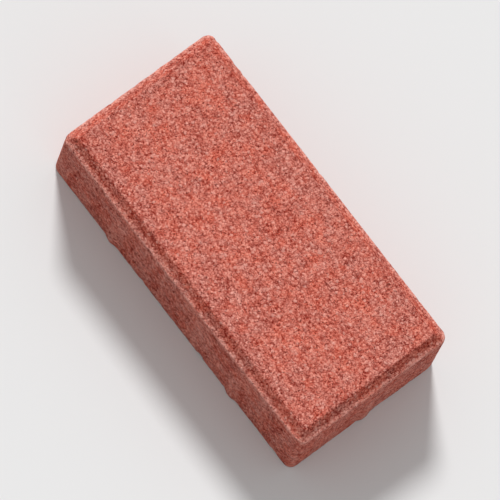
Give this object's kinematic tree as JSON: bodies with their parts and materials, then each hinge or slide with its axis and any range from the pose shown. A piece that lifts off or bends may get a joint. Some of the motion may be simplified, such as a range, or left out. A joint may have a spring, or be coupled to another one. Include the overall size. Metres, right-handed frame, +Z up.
{
  "type": "concrete paving stone",
  "caption": "Rectangular pressed concrete paving stone with a top edge that drops in a steep slope and then a flatter shoulder, and upright spacer ribs on its walls.",
  "frame": {"origin": "centre of the underside, on the ground", "axes": "+X along the stone's long side, +Y across it, +Z up through the walking face"},
  "size_m": [0.2022, 0.0982, 0.06],
  "materials": {
    "red_concrete": "matt, fine sandy grain, coloured through"
  },
  "bodies": {
    "root": {"paving_stone": "red_concrete"}
  },
  "joints": []
}
